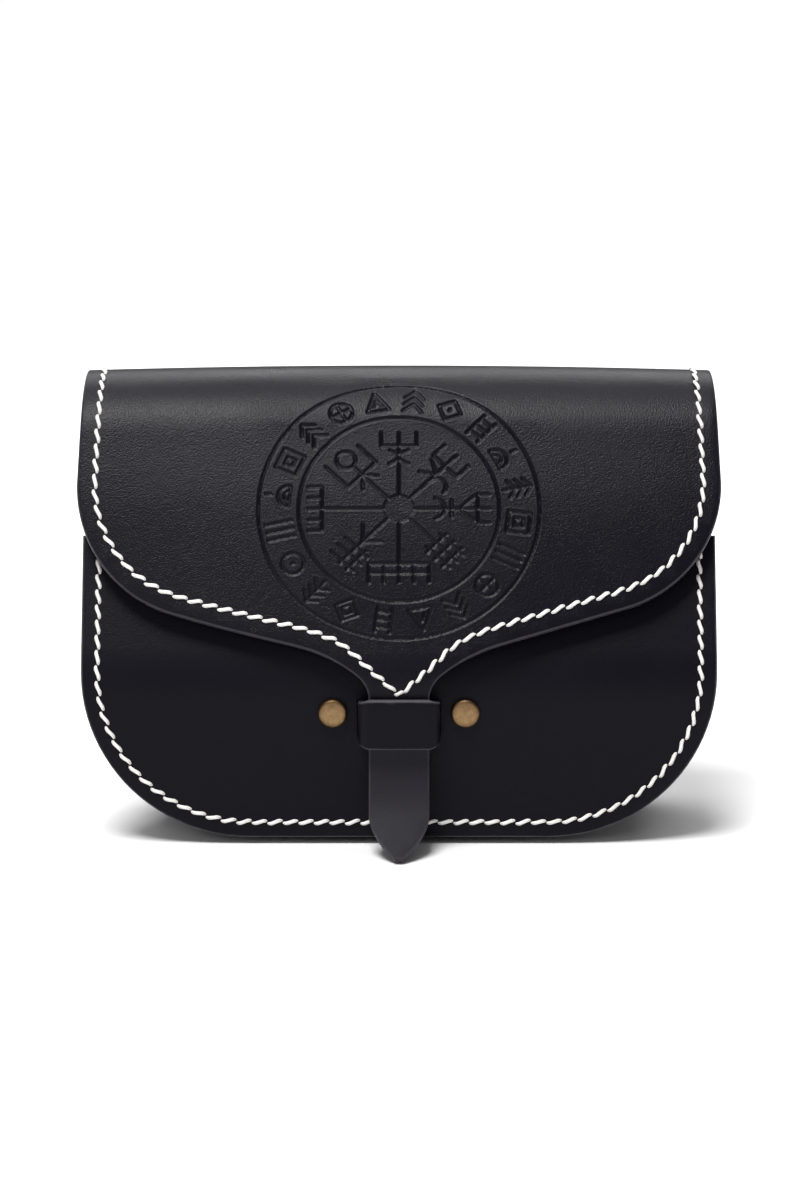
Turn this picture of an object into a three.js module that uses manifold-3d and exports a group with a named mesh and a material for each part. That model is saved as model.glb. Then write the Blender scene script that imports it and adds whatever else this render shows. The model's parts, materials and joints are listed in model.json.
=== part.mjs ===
// A medieval belt pouch of thick leather, closed by a pointed tongue under a keeper.
//
// One long piece of leather is the back, the top fold, the flap and the tongue. The front panel hangs
// below the flap, and a U-shaped gusset with turned-out edges joins it to the back along both sides and
// the bottom. The keeper is a band whose ends go through two slits in the front panel and are riveted
// behind it. Two riveted loops on the back take a belt. The pouch stands on the foot of its back and on
// the tip of its tongue, which splays forward and lifts the front a little.
//
// Each piece is drawn in the pouch's own upright frame: x across, y from the front panel's foot towards
// the back, z up. The last lines lean the pouch back on its foot and put the origin under its middle.

import * as THREE from "three";
import { mergeVertices } from "three/addons/utils/BufferGeometryUtils.js";
import Module from "manifold-3d";

const wasm = await Module();
wasm.setup();

// Driving dimensions, in millimetres
const bodyWidth = 200;
const bagDepth = 61; // outside, at the foot
const bagHeight = 143; // back's foot to the crown of the fold
const leather = 3; // back, flap and front panel
const gussetLeather = 2;
const strapLeather = 2.5; // keeper and belt loops
const gap = 0.3; // between pieces that touch
const cornerRadius = 53; // lower corners of the body

// Front panel, from its foot to its rim
const frontLean = -3; // degrees back from upright: the lower part leans forward
const bellyRadius = 38;
const rimLean = 24;
const rimRun = 36.2;
const rimBelowCrown = 48.5;

// Fold and flap
const backBendRadius = 14;
const foldRadius = 26;
const rimClearance = 3.6; // between the flap's inner face and the rim
const flapHalfWidth = 101.7;
const wingCornerRadius = 42;
const wingSlope = 16.2; // degrees, of the flap's lower edge
const shoulderRadius = 52;
const shoulderSlope = 40; // degrees, where the lower edge turns into the neck
const neckRadius = 9.8;
const neckBendRadius = 30;

// Tongue and keeper
const tongueHalfWidth = 9.5;
const tongueStandoff = 3.6; // free space between tongue and front panel
const splayLean = 45;
const splayRadius = 30;
const tipTaper = 16.5;
const tipRoundness = 1.65;
const tipHalfWidth = 1.2;
const keeperCentre = 39.5; // height on the front panel
const keeperHeight = 16;
const keeperSlack = 0.6;
const keeperBendRadius = 4;
const keeperTail = 16.5;
const neckBelowKeeperTop = 1; // where the flap's neck reaches the tongue's width

// Rivets
const rivetSpread = 41.6; // between the two front rivets
const rivetRise = 1.7; // above the keeper's middle
const rivetHeadRadius = 4.6;
const rivetHeadHeight = 1.7;
const rivetShankRadius = 1.6;
const rivetSides = 20;

// Gusset
const flangeWidth = 8;
const gussetBend = 3;
const gussetSink = 6; // how far the side walls fold in at the mouth
const mouthBackRise = 23; // the gusset's mouth climbs this much towards the back
const mouthDrop = 2; // below the front panel's rim

// Belt loops
const beltLoopSpacing = 94;
const beltLoopWidth = 25;
const beltSlot = 50;
const beltDepth = 6;
const beltTab = 15;
const beltLoopDrop = 2; // below the back's bend
const beltLoopBendRadius = 5;
const beltLoopRise = 55; // degrees, of the loop's ends

// Stance and the leather's soft form
const stanceTilt = 2; // degrees, leaning back
const bellyBow = 3; // the front swells this much at the middle
const crownRise = 1.5; // the fold is this much higher at the middle

const rad = THREE.MathUtils.degToRad;

// A side view drawn as straight runs and bends, walked by length. A bend turns left if its angle is
// positive. The outer face is on the right, and side -1 puts it on the left.
class SideLine {
  constructor(y, z, heading, side = 1) {
    this.runs = [];
    this.end = { y, z, heading };
    this.side = side;
    this.length = 0;
  }

  straight(length) {
    return this.add(length, 0);
  }

  bend(radius, degrees) {
    return this.add(radius * Math.abs(rad(degrees)), rad(degrees));
  }

  add(length, turn) {
    this.runs.push({ ...this.end, from: this.length, length, turn });
    this.length += length;
    const last = this.at(this.length);
    this.end = { y: last.y, z: last.z, heading: last.heading };
    return this;
  }

  at(s) {
    const run = this.runs.findLast((r) => s >= r.from) ?? this.runs[0];
    const along = s - run.from;
    const curve = run.turn / run.length;
    const heading = run.heading + curve * along;
    const straight = run.turn === 0;
    const y = run.y + (straight ? along * Math.cos(run.heading) : (Math.sin(heading) - Math.sin(run.heading)) / curve);
    const z = run.z + (straight ? along * Math.sin(run.heading) : (Math.cos(run.heading) - Math.cos(heading)) / curve);
    return { y, z, heading, ny: this.side * Math.sin(heading), nz: -this.side * Math.cos(heading) };
  }

  // Where the sections go: the ends of every run, and steps of at most the given degrees in a bend
  stations(step = 6) {
    const cuts = this.runs.flatMap((r) => {
      const n = Math.max(1, Math.ceil(Math.abs(THREE.MathUtils.radToDeg(r.turn)) / step));
      return Array.from({ length: n }, (_, i) => r.from + (r.length * i) / n);
    });
    return [...cuts, this.length];
  }

  // The face at a depth below the outer one, as its y at a height
  faceAt(z, depth) {
    const points = this.stations(2).map((s) => {
      const p = this.at(s);
      return [p.z - p.nz * depth, p.y - p.ny * depth];
    });
    const i = Math.max(1, points.findIndex(([height]) => height >= z));
    const [[z0, y0], [z1, y1]] = z > points.at(-1)[0] ? points.slice(-2) : points.slice(i - 1, i + 1);
    return y0 + ((y1 - y0) * (z - z0)) / (z1 - z0);
  }
}

// Half the width of a cut at a length, from its outline's points
function widthAt(outline, s) {
  const i = Math.min(outline.length - 1, Math.max(1, outline.findIndex((p) => p.s >= s)));
  const [a, b] = [outline[i - 1], outline[i]];
  return s >= outline.at(-1).s ? outline.at(-1).w : a.w + ((b.w - a.w) * Math.max(0, s - a.s)) / (b.s - a.s);
}

function sortedLengths(lists, from, to) {
  const all = lists.flat().filter((s) => s > from && s < to).sort((a, b) => a - b);
  return [from, ...all.filter((s, i) => s - from > 0.2 && to - s > 0.2 && (i === 0 || s - all[i - 1] > 0.2)), to];
}

// Closed geometry from rings of points, each ring with the same count, the first and last rings capped
// by strips between their two halves.
function loft(rings) {
  const count = rings[0].length;
  const index = [];
  const quad = (a, b, c, d) => index.push(a, b, c, a, c, d);
  for (let r = 0; r + 1 < rings.length; r++) {
    for (let i = 0; i < count; i++) {
      const j = (i + 1) % count;
      quad(r * count + i, r * count + j, (r + 1) * count + j, (r + 1) * count + i);
    }
  }
  const last = (rings.length - 1) * count;
  for (let i = 0; i < count / 2 - 1; i++) {
    const [a, b, c, d] = [i, i + 1, count - 2 - i, count - 1 - i];
    quad(a, d, c, b);
    quad(last + a, last + b, last + c, last + d);
  }
  const geometry = new THREE.BufferGeometry();
  geometry.setAttribute("position", new THREE.Float32BufferAttribute(rings.flat(2), 3));
  geometry.setIndex(index);
  return geometry;
}

// A sheet of leather bent along a side line and cut to an outline, its middle at x
function sheet(line, outline, lengths, thickness, x = 0, columns = 8) {
  const across = Array.from({ length: columns + 1 }, (_, i) => (2 * i) / columns - 1);
  const rings = lengths.map((s) => {
    const p = line.at(s);
    const w = widthAt(outline, s);
    const face = (depth) => across.map((u) => [x + u * w, p.y - p.ny * depth, p.z - p.nz * depth]);
    return [...face(0), ...face(thickness).reverse()];
  });
  return loft(line.side > 0 ? rings.reverse() : rings);
}

function toSolid(geometry) {
  const bare = geometry.index ? geometry.clone() : geometry;
  for (const name of ["normal", "uv"]) bare.deleteAttribute(name);
  const merged = mergeVertices(bare, 1e-4);
  const triVerts = new Uint32Array(merged.index.array);
  return new wasm.Manifold(new wasm.Mesh({ numProp: 3, vertProperties: merged.attributes.position.array, triVerts }));
}

function toGeometry(solid) {
  const mesh = solid.getMesh();
  const geometry = new THREE.BufferGeometry();
  geometry.setAttribute("position", new THREE.Float32BufferAttribute(mesh.vertProperties, 3));
  geometry.setIndex(new THREE.BufferAttribute(mesh.triVerts, 1));
  return geometry;
}

function cut(geometry, cutters) {
  return toGeometry(cutters.reduce((solid, cutter) => solid.subtract(toSolid(cutter)), toSolid(geometry)));
}

// The leather's soft form: every piece is moved a little by the same smooth rule, so all still fit
function settle(geometry) {
  const p = geometry.attributes.position;
  for (let i = 0; i < p.count; i++) {
    const [x, y, z] = [p.getX(i), p.getY(i), p.getZ(i)];
    const across = 1 - (x / (bodyWidth / 2)) ** 2;
    const high = THREE.MathUtils.clamp(z / bagHeight, 0, 1);
    const frontness = Math.max(0, 1 - y / bagDepth);
    p.setY(i, y - bellyBow * across * frontness * Math.sin(Math.PI * high));
    p.setZ(i, z + crownRise * across * high ** 3);
  }
  return geometry;
}

// Colours and finishes
const blackLeather = new THREE.MeshStandardMaterial({ color: 0x1f1e22, roughness: 0.5, metalness: 0 });
const innerLeather = new THREE.MeshStandardMaterial({ color: 0x19181b, roughness: 0.7, metalness: 0 });
const agedBrass = new THREE.MeshStandardMaterial({ color: 0x9c7b4c, roughness: 0.35, metalness: 1 });

const pouch = new THREE.Group();

function addPiece(name, geometry, material) {
  const flat = settle(geometry).toNonIndexed();
  flat.computeVertexNormals();
  const mesh = new THREE.Mesh(flat, material);
  mesh.name = name;
  pouch.add(mesh);
}

// The body's lower outline: a flat foot between two round corners, by length from the foot
const cornerSteps = 9;
const bodyOutline = Array.from({ length: cornerSteps + 1 }, (_, i) => {
  const a = ((i / cornerSteps) * Math.PI) / 2;
  return { s: cornerRadius * (1 - Math.cos(a)), w: bodyWidth / 2 - cornerRadius * (1 - Math.sin(a)) };
});

// Front panel
const rimHeight = bagHeight - rimBelowCrown;
const bellyHeight = bellyRadius * (Math.sin(rad(rimLean)) - Math.sin(rad(frontLean)));
const frontStraight = (rimHeight - bellyHeight - rimRun * Math.cos(rad(rimLean))) / Math.cos(rad(frontLean));
const frontLine = new SideLine(0, 0, rad(90 - frontLean), -1)
  .straight(frontStraight)
  .bend(bellyRadius, frontLean - rimLean)
  .straight(rimRun);
const panelInside = (z) => frontLine.faceAt(z, leather);

// A frame on the front panel's lower part: origin on its outer face, y inwards, z up along the leather
function onFrontPanel(geometry, height) {
  const s = height / Math.cos(rad(frontLean));
  const p = frontLine.at(s);
  geometry.rotateX(-rad(frontLean));
  geometry.translate(0, p.y, p.z);
  return geometry;
}

function box(width, depth, height, x = 0, y = 0, z = 0) {
  return new THREE.BoxGeometry(width, depth, height).translate(x, y, z);
}

// A pin along y, for shanks' holes
function hole(radius, depth, x = 0, z = 0) {
  return new THREE.CylinderGeometry(radius, radius, depth, rivetSides).translate(x, 0, z);
}

// Keeper: a band seen from above, y inwards from the front panel's outer face
const legInside = tongueHalfWidth + gap + keeperSlack;
const legOutside = legInside + strapLeather;
const bridgeOutside = tongueStandoff + leather + keeperSlack + strapLeather;
const tailFront = leather + gap;
const tailEnd = legOutside + keeperTail;

function keeperShape() {
  const shape = new THREE.Shape();
  const steps = 4;
  // The half with x > 0, walked along its outside from the middle of the bridge to the tail's end
  const arc = (cx, cy, r, from, to) =>
    Array.from({ length: steps + 1 }, (_, i) => {
      const a = rad(from + ((to - from) * i) / steps);
      return [cx + r * Math.cos(a), cy + r * Math.sin(a)];
    });
  const tight = keeperBendRadius - strapLeather;
  const outside = [
    ...arc(legOutside - keeperBendRadius, -bridgeOutside + keeperBendRadius, keeperBendRadius, -90, 0),
    [legOutside, tailFront],
    [tailEnd, tailFront],
    [tailEnd, tailFront + strapLeather],
    ...arc(legInside + tight, tailFront + strapLeather - tight, tight, 90, 180),
    ...arc(legInside - tight, -bridgeOutside + strapLeather + tight, tight, 0, -90),
  ];
  const mirrored = outside.map(([x, y]) => [-x, y]).reverse();
  const points = [...outside, ...mirrored].map(([x, y]) => new THREE.Vector2(x, y));
  shape.setFromPoints(points);
  return shape;
}

const rivetHoleRadius = rivetShankRadius + gap;
const rivetXs = [-rivetSpread / 2, rivetSpread / 2];

const keeper = new THREE.ExtrudeGeometry(keeperShape(), { depth: keeperHeight, bevelEnabled: false });
keeper.translate(0, 0, -keeperHeight / 2);
const drilledKeeper = cut(
  keeper,
  rivetXs.map((x) => hole(rivetHoleRadius, 8 * leather, x, rivetRise)),
);

// The front panel is slit for the keeper's legs and drilled for its rivets
const slitWidth = strapLeather + 2 * gap;
const slitX = (legInside + legOutside) / 2;
const frontCuts = [
  ...[-slitX, slitX].map((x) => box(slitWidth, 4 * leather, keeperHeight + 2 * gap, x)),
  ...rivetXs.map((x) => hole(rivetHoleRadius, 4 * leather, x, rivetRise)),
].map((g) => onFrontPanel(g, keeperCentre));
const frontLengths = sortedLengths([frontLine.stations(), bodyOutline.map((p) => p.s)], 0, frontLine.length);
const frontPanel = cut(sheet(frontLine, bodyOutline, frontLengths, leather), frontCuts);
addPiece("front_panel", frontPanel, blackLeather);
addPiece("keeper_loop", onFrontPanel(drilledKeeper, keeperCentre), blackLeather);

// A rivet with a low domed cap on each side, its axis along y, its head's seat at y = 0, facing -y
function rivet(grip) {
  const domeSteps = 4;
  const cap = (sign) =>
    Array.from({ length: domeSteps + 1 }, (_, i) => {
      const a = ((i / domeSteps) * Math.PI) / 2;
      const rim = 0.45 * rivetHeadHeight;
      return [rivetHeadRadius * Math.sin(a), sign * (rim + (rivetHeadHeight - rim) * Math.cos(a))];
    });
  const seat = gap;
  const outer = cap(-1).map(([r, y]) => [r, y - seat]);
  const inner = cap(1).map(([r, y]) => [r, y + grip + seat]);
  const profile = [
    ...outer,
    [rivetHeadRadius, -seat],
    [rivetShankRadius, -seat],
    [rivetShankRadius, grip + seat],
    [rivetHeadRadius, grip + seat],
    ...inner.reverse(),
  ];
  return new THREE.LatheGeometry(
    profile.map(([r, y]) => new THREE.Vector2(Math.max(r, 0), y)),
    rivetSides,
  );
}

rivetXs.forEach((x, i) => {
  const geometry = rivet(tailFront + strapLeather).translate(x, 0, rivetRise);
  addPiece(`keeper_rivet_${["left", "right"][i]}`, onFrontPanel(geometry, keeperCentre), agedBrass);
});

// Back, fold, flap and tongue in one piece, walked from the back's foot
const flapLine = new SideLine(bagDepth, 0, rad(90)).straight(bagHeight - backBendRadius).bend(backBendRadius, 90);
const crownLength = flapLine.length;
// The flap leans so far that its inner face, which runs off the fold, passes the rim at the clearance
const rim = frontLine.end;
const foldCentre = { y: flapLine.end.y, z: flapLine.end.z - foldRadius };
const forward = foldCentre.y - rim.y;
const below = foldCentre.z - rim.z;
const reachToRim = foldRadius - leather - rimClearance;
const flapLeanTurn = Math.acos(reachToRim / Math.hypot(forward, below)) - Math.atan2(below, forward);
const flapLean = THREE.MathUtils.radToDeg(flapLeanTurn);
flapLine.bend(foldRadius, 90 - flapLean);
// The flap runs straight until its bend brings the tongue to its distance from the front panel
const tongueFront = tongueStandoff + leather;
const ahead = (y, z) => -Math.cos(rad(frontLean)) * y + Math.sin(rad(frontLean)) * z;
const foldEnd = flapLine.at(flapLine.length);
const bendCentre = ahead(foldEnd.y - foldEnd.ny * neckBendRadius, foldEnd.z - foldEnd.nz * neckBendRadius);
const gainPerLength = ahead(Math.cos(foldEnd.heading), Math.sin(foldEnd.heading));
const flapStraight = (tongueFront - neckBendRadius - bendCentre) / gainPerLength;
flapLine.straight(flapStraight).bend(neckBendRadius, flapLean - frontLean);

// Under the keeper, then forward to the floor, which the leaning pouch meets along this line
const keeperTop = keeperCentre + keeperHeight / 2;
const keeperFoot = keeperCentre - keeperHeight / 2;
const neckLength = flapLine.length + flapLine.end.z - keeperTop + neckBelowKeeperTop;
flapLine.straight(flapLine.end.z - keeperFoot + 1).bend(splayRadius, frontLean - splayLean);
const aboveFloor = (p) => p.z + (bagDepth - p.y) * Math.tan(rad(stanceTilt));
const splay = flapLine.at(flapLine.length);
const innerCorner = { y: splay.y - splay.ny * leather, z: splay.z - splay.nz * leather };
const tipHeight = Math.min(aboveFloor(splay), aboveFloor(innerCorner));
const fallPerLength = -Math.sin(splay.heading) + Math.cos(splay.heading) * Math.tan(rad(stanceTilt));
flapLine.straight(tipHeight / fallPerLength);

// The cut of the back and flap: a walk from the neck up to the wings, then the fold, the back and its foot
function flapOutline() {
  const points = [];
  const steps = 6;
  let [w, s] = [tongueHalfWidth, neckLength];
  // Slopes are degrees below level; an edge turns from upright at the neck to the wings' slope and back
  const turn = (radius, from, to, sign) => {
    for (let i = 1; i <= steps; i++) {
      const [a, b] = [i - 1, i].map((k) => rad(from + ((to - from) * k) / steps));
      w += sign * radius * (Math.sin(a) - Math.sin(b));
      s -= sign * radius * (Math.cos(b) - Math.cos(a));
      points.push({ s, w });
    }
  };
  points.push({ s, w });
  turn(neckRadius, 90, shoulderSlope, 1);
  turn(shoulderRadius, shoulderSlope, wingSlope, 1);
  const cornerStart = flapHalfWidth - wingCornerRadius * (1 - Math.sin(rad(wingSlope)));
  s -= (cornerStart - w) * Math.tan(rad(wingSlope));
  w = cornerStart;
  points.push({ s, w });
  turn(wingCornerRadius, wingSlope, 90, -1);
  // The flap is a little wider than the back, and narrows towards the crown
  points.push({ s: crownLength, w: bodyWidth / 2 });
  return [...bodyOutline, ...points.reverse()];
}

function tongueOutline() {
  const steps = 6;
  const start = flapLine.length - tipTaper;
  const taper = Array.from({ length: steps + 1 }, (_, i) => {
    const t = i / steps;
    return { s: start + t * tipTaper, w: tipHalfWidth + (tongueHalfWidth - tipHalfWidth) * (1 - t ** tipRoundness) };
  });
  return taper;
}

const backOutline = [...flapOutline(), ...tongueOutline()];
const loopXs = [-beltLoopSpacing / 2, beltLoopSpacing / 2];

// Belt loops: each lies on the back at both ends and stands off it between
const riseRun = beltDepth / Math.sin(rad(beltLoopRise)) - 2 * beltLoopBendRadius * Math.tan(rad(beltLoopRise / 2));
const riseHeight = 2 * beltLoopBendRadius * Math.sin(rad(beltLoopRise)) + riseRun * Math.cos(rad(beltLoopRise));
const beltLoopHeight = beltSlot + 2 * (beltTab + riseHeight);
const beltLoopBase = bagHeight - backBendRadius - beltLoopDrop - beltLoopHeight;
const beltLine = new SideLine(bagDepth + gap + strapLeather, beltLoopBase, rad(90))
  .straight(beltTab)
  .bend(beltLoopBendRadius, -beltLoopRise)
  .straight(riseRun)
  .bend(beltLoopBendRadius, beltLoopRise)
  .straight(beltSlot)
  .bend(beltLoopBendRadius, beltLoopRise)
  .straight(riseRun)
  .bend(beltLoopBendRadius, -beltLoopRise)
  .straight(beltTab);
const beltRivetZs = [beltLoopBase + beltTab / 2, beltLine.end.z - beltTab / 2];
const beltLoopOutline = [
  { s: 0, w: beltLoopWidth / 2 },
  { s: beltLine.length, w: beltLoopWidth / 2 },
];
const beltHoles = (x) => beltRivetZs.map((z) => hole(rivetHoleRadius, 6 * leather, x, z).translate(0, bagDepth, 0));

const backLengths = sortedLengths([flapLine.stations(), backOutline.map((p) => p.s)], 0, flapLine.length);
const backAndFlap = cut(sheet(flapLine, backOutline, backLengths, leather), loopXs.flatMap(beltHoles));
addPiece("back_and_flap", backAndFlap, blackLeather);

loopXs.forEach((x, i) => {
  const side = ["left", "right"][i];
  const band = sheet(beltLine, beltLoopOutline, beltLine.stations(14), strapLeather, x, 2);
  addPiece(`belt_loop_${side}`, cut(band, beltHoles(x)), blackLeather);
  beltRivetZs.forEach((z, k) => {
    const geometry = rivet(leather + gap + strapLeather).rotateZ(Math.PI);
    geometry.translate(x, bagDepth + gap + strapLeather, z);
    addPiece(`belt_rivet_${side}_${["low", "high"][k]}`, geometry, agedBrass);
  });
});

// Gusset: its section runs from the front flange's edge, over the wall, to the back flange's edge.
// Each point has a distance in from the body's outline, and a depth from the front or the back panel.
const wallIn = flangeWidth + gussetLeather;
const crease = gussetBend * (1 - Math.SQRT1_2);
const tightBend = gussetBend - gussetLeather;
const tightCrease = tightBend * (1 - Math.SQRT1_2);
const insideFace = [
  { inward: 0, depth: 0 },
  { inward: wallIn - gussetBend, depth: 0 },
  { inward: wallIn - crease, depth: crease },
  { inward: wallIn, depth: gussetBend },
];
const outsideFace = [
  { inward: 0, depth: gussetLeather },
  { inward: flangeWidth - tightBend, depth: gussetLeather },
  { inward: flangeWidth - tightCrease, depth: gussetLeather + tightCrease },
  { inward: flangeWidth, depth: gussetLeather + tightBend },
];
const wallShares = [0.25, 0.5, 0.75];

function gussetRing(x, z, towardX, towardZ) {
  const back = bagDepth - leather - gap;
  const place = (inward, y) => [x + towardX * inward, y, z + towardZ * inward];
  const front = ({ inward, depth }) => {
    const height = z + towardZ * inward;
    return place(inward, panelInside(height) + gap / Math.cos(rad(rimLean)) + depth);
  };
  const rear = ({ inward, depth }) => place(inward, back - depth);
  const wall = (inward) => {
    const [a, b] = [front({ inward, depth: gussetBend })[1], back - gussetBend];
    const sink = gussetSink * THREE.MathUtils.smoothstep(z, cornerRadius / 2, rimHeight);
    return wallShares.map((t) => place(inward + sink * Math.sin(Math.PI * t), a + (b - a) * t));
  };
  return [
    ...insideFace.map(front),
    ...wall(wallIn),
    ...insideFace.map(rear).reverse(),
    ...outsideFace.map(rear),
    ...wall(flangeWidth).reverse(),
    ...outsideFace.map(front).reverse(),
  ];
}

const mouthFront = panelInside(rimHeight);
const mouthBack = bagDepth - leather;
const gussetTop = rimHeight - mouthDrop + mouthBackRise + 6;
const sideSteps = 6;
const cornerStations = 8;
const gussetRings = [];
for (let i = 0; i < sideSteps; i++) {
  const z = gussetTop + ((cornerRadius - gussetTop) * i) / sideSteps;
  gussetRings.push(gussetRing(-bodyWidth / 2, z, 1, 0));
}
for (let i = 0; i <= cornerStations; i++) {
  const a = ((i / cornerStations) * Math.PI) / 2;
  const [c, s] = [Math.cos(a), Math.sin(a)];
  gussetRings.push(gussetRing(-bodyWidth / 2 + cornerRadius * (1 - c), cornerRadius * (1 - s), c, s));
}
const mirrorRing = (ring) => ring.map(([x, y, z]) => [-x, y, z]);
gussetRings.push(gussetRing(0, 0, 0, 1));
gussetRings.push(...gussetRings.slice(0, -1).reverse().map(mirrorRing));

// The gusset's mouth is cut on a slant, up towards the back
const slant = Math.atan2(mouthBackRise, mouthBack - mouthFront);
const mouthCutter = box(2 * bodyWidth, 4 * bagDepth, bagHeight, 0, 0, bagHeight / 2);
mouthCutter.rotateX(slant).translate(0, mouthFront, rimHeight - mouthDrop);
addPiece("gusset", cut(loft(gussetRings.reverse()), [mouthCutter]), innerLeather);

// Lean the pouch back on its foot, then put the origin on the floor under the middle of its box
const leaning = new THREE.Group();
leaning.rotation.x = -rad(stanceTilt);
leaning.add(pouch);
const standing = new THREE.Group();
standing.add(leaning);
standing.updateMatrixWorld(true);
const reach = new THREE.Box3().setFromObject(standing, true);
leaning.position.set(-(reach.min.x + reach.max.x) / 2, -(reach.min.y + reach.max.y) / 2, -reach.min.z);

export default standing;
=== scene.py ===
import json
import math
import random

import bmesh
import bpy
import numpy as np
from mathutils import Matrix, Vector


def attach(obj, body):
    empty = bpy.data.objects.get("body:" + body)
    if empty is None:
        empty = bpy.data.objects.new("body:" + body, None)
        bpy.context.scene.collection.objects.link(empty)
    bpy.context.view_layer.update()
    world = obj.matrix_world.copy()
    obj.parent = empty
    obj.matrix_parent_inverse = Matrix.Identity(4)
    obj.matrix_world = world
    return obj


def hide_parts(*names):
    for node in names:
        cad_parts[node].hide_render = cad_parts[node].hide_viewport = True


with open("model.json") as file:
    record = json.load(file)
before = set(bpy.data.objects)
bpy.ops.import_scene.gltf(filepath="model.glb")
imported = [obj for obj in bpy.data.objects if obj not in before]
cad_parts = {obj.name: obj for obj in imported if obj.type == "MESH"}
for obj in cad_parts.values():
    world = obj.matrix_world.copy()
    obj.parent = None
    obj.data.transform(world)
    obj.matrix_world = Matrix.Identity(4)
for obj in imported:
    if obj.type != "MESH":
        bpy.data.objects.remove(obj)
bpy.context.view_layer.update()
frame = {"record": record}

# A medieval belt pouch of thick black leather. Each leather piece is cut flat as a pattern, folded
# along the pouch's side line, and given the leather's soft form by one rule that all pieces share.
# Sizes are in millimetres in the pouch's own upright frame: x across, y from the front panel's foot
# towards the back, z up. The last step of each piece leans it back and puts it in metres.

MM = 0.001

# Body
body_width = 200
bag_depth = 61
bag_height = 143
leather = 3
gusset_leather = 2
strap_leather = 2.5
gap = 0.3
corner_radius = 53

# Front panel
front_lean = -3
belly_radius = 38
rim_lean = 24
rim_run = 36.2
rim_below_crown = 48.5

# Fold and flap
back_bend_radius = 14
fold_radius = 26
rim_clearance = 3.6
flap_half_width = 101.7
wing_corner_radius = 42
wing_slope = 16.2
shoulder_radius = 52
shoulder_slope = 40
neck_radius = 9.8
neck_bend_radius = 30

# Tongue and keeper
tongue_half_width = 9.5
tongue_standoff = 3.6
splay_lean = 45
splay_radius = 30
tip_taper = 16.5
tip_roundness = 1.65
tip_half_width = 1.2
keeper_centre = 39.5
keeper_height = 16
keeper_slack = 0.6
keeper_bend_radius = 4
keeper_crease_radius = 0.6
keeper_tail = 16.5
keeper_draw_in = 2.3
keeper_crown = 0.3
neck_below_keeper_top = 1

# Rivets
rivet_spread = 41.6
rivet_rise = 1.7
rivet_head_radius = 4.6
rivet_head_height = 1.7
rivet_cap_rounding = 1.15
rivet_shank_radius = 1.6

# Gusset
flange_width = 8
gusset_bend = 3
gusset_sink = 6
mouth_back_rise = 23
mouth_drop = 2

# Belt loops
belt_loop_spacing = 94
belt_loop_width = 25
belt_slot = 50
belt_depth = 6
belt_tab = 15
belt_loop_drop = 2
belt_loop_bend_radius = 5
belt_loop_rise = 55

# Stance and soft form
stance_tilt = 2
belly_bow = 3
crown_rise = 1.5
flap_belly = 1.5
flap_belly_lead = 12
flap_belly_reach = 28
left_wing_hang = 1.8
wing_hang_start = 12
wing_hang_run = 55
# How far the tongue is painted lighter for the light it catches, and dulled by handling
tongue_handling_and_painted_light = 0.3

# Stitches
stitch_pitch = 4.9
stitch_inset = 5.7
front_stitch_inset = 5.2
stitch_radius = 0.66
seam_v_tip = 266.4

# Stamped figure on the flap
figure_centre = 208.1
figure_radius = 44.3
figure_squash = 0.934
inner_ring_radius = 31.6
hub_radius = 4.7
stamp_depth = 0.46
lip_height = 0.03
groove_reach = 0.74
hub_shallow = 0.36
stamp_cell = 4.2
stamp_cells = 24

rim_rounding = 0.75
strap_rim_rounding = 0.6

# A distance to start from when the nearest of many lines is sought
far_away = 50.0

random.seed(7)


# Side lines

class SideLine:
    """Straight runs and bends, walked by length. The outer face is on the right, or left if side is -1."""

    def __init__(self, a, b, heading, side=1):
        self.runs = []
        self.end = (a, b, heading)
        self.side = side
        self.length = 0.0

    def straight(self, length):
        return self.add(length, 0.0)

    def bend(self, radius, degrees):
        return self.add(radius * abs(math.radians(degrees)), math.radians(degrees))

    def add(self, length, turn):
        self.runs.append((self.length, length, turn, self.end))
        self.length += length
        a, b, heading = (float(v[0]) for v in self.walk(np.array([self.length])))
        self.end = (a, b, heading)
        return self

    def walk(self, s):
        s = np.asarray(s, float)
        starts = np.array([run[0] for run in self.runs])
        which = np.clip(np.searchsorted(starts, s, side="right") - 1, 0, len(self.runs) - 1)
        a, b, heading = np.zeros_like(s), np.zeros_like(s), np.zeros_like(s)
        for i, (start, length, turn, (a0, b0, h0)) in enumerate(self.runs):
            here = which == i
            along = s[here] - start
            h = h0 + turn / length * along
            heading[here] = h
            if turn == 0:
                a[here] = a0 + along * math.cos(h0)
                b[here] = b0 + along * math.sin(h0)
            else:
                a[here] = a0 + (np.sin(h) - math.sin(h0)) * length / turn
                b[here] = b0 + (math.cos(h0) - np.cos(h)) * length / turn
        return a, b, heading

    def place(self, s, depth):
        a, b, heading = self.walk(s)
        return a - self.side * np.sin(heading) * depth, b + self.side * np.cos(heading) * depth

    def stations(self, degrees, longest):
        """Lengths at which the leather needs a crossing edge to follow its bends"""
        found = []
        for start, length, turn, _ in self.runs:
            parts = max(1, math.ceil(abs(math.degrees(turn)) / degrees), math.ceil(length / longest))
            found += [start + length * i / parts for i in range(parts)]
        return found + [self.length]


rim_height = bag_height - rim_below_crown
belly_height = belly_radius * (math.sin(math.radians(rim_lean)) - math.sin(math.radians(front_lean)))
rim_share = rim_run * math.cos(math.radians(rim_lean))
front_straight = (rim_height - belly_height - rim_share) / math.cos(math.radians(front_lean))
front_line = SideLine(0, 0, math.radians(90 - front_lean), -1)
front_line.straight(front_straight).bend(belly_radius, front_lean - rim_lean).straight(rim_run)

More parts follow.
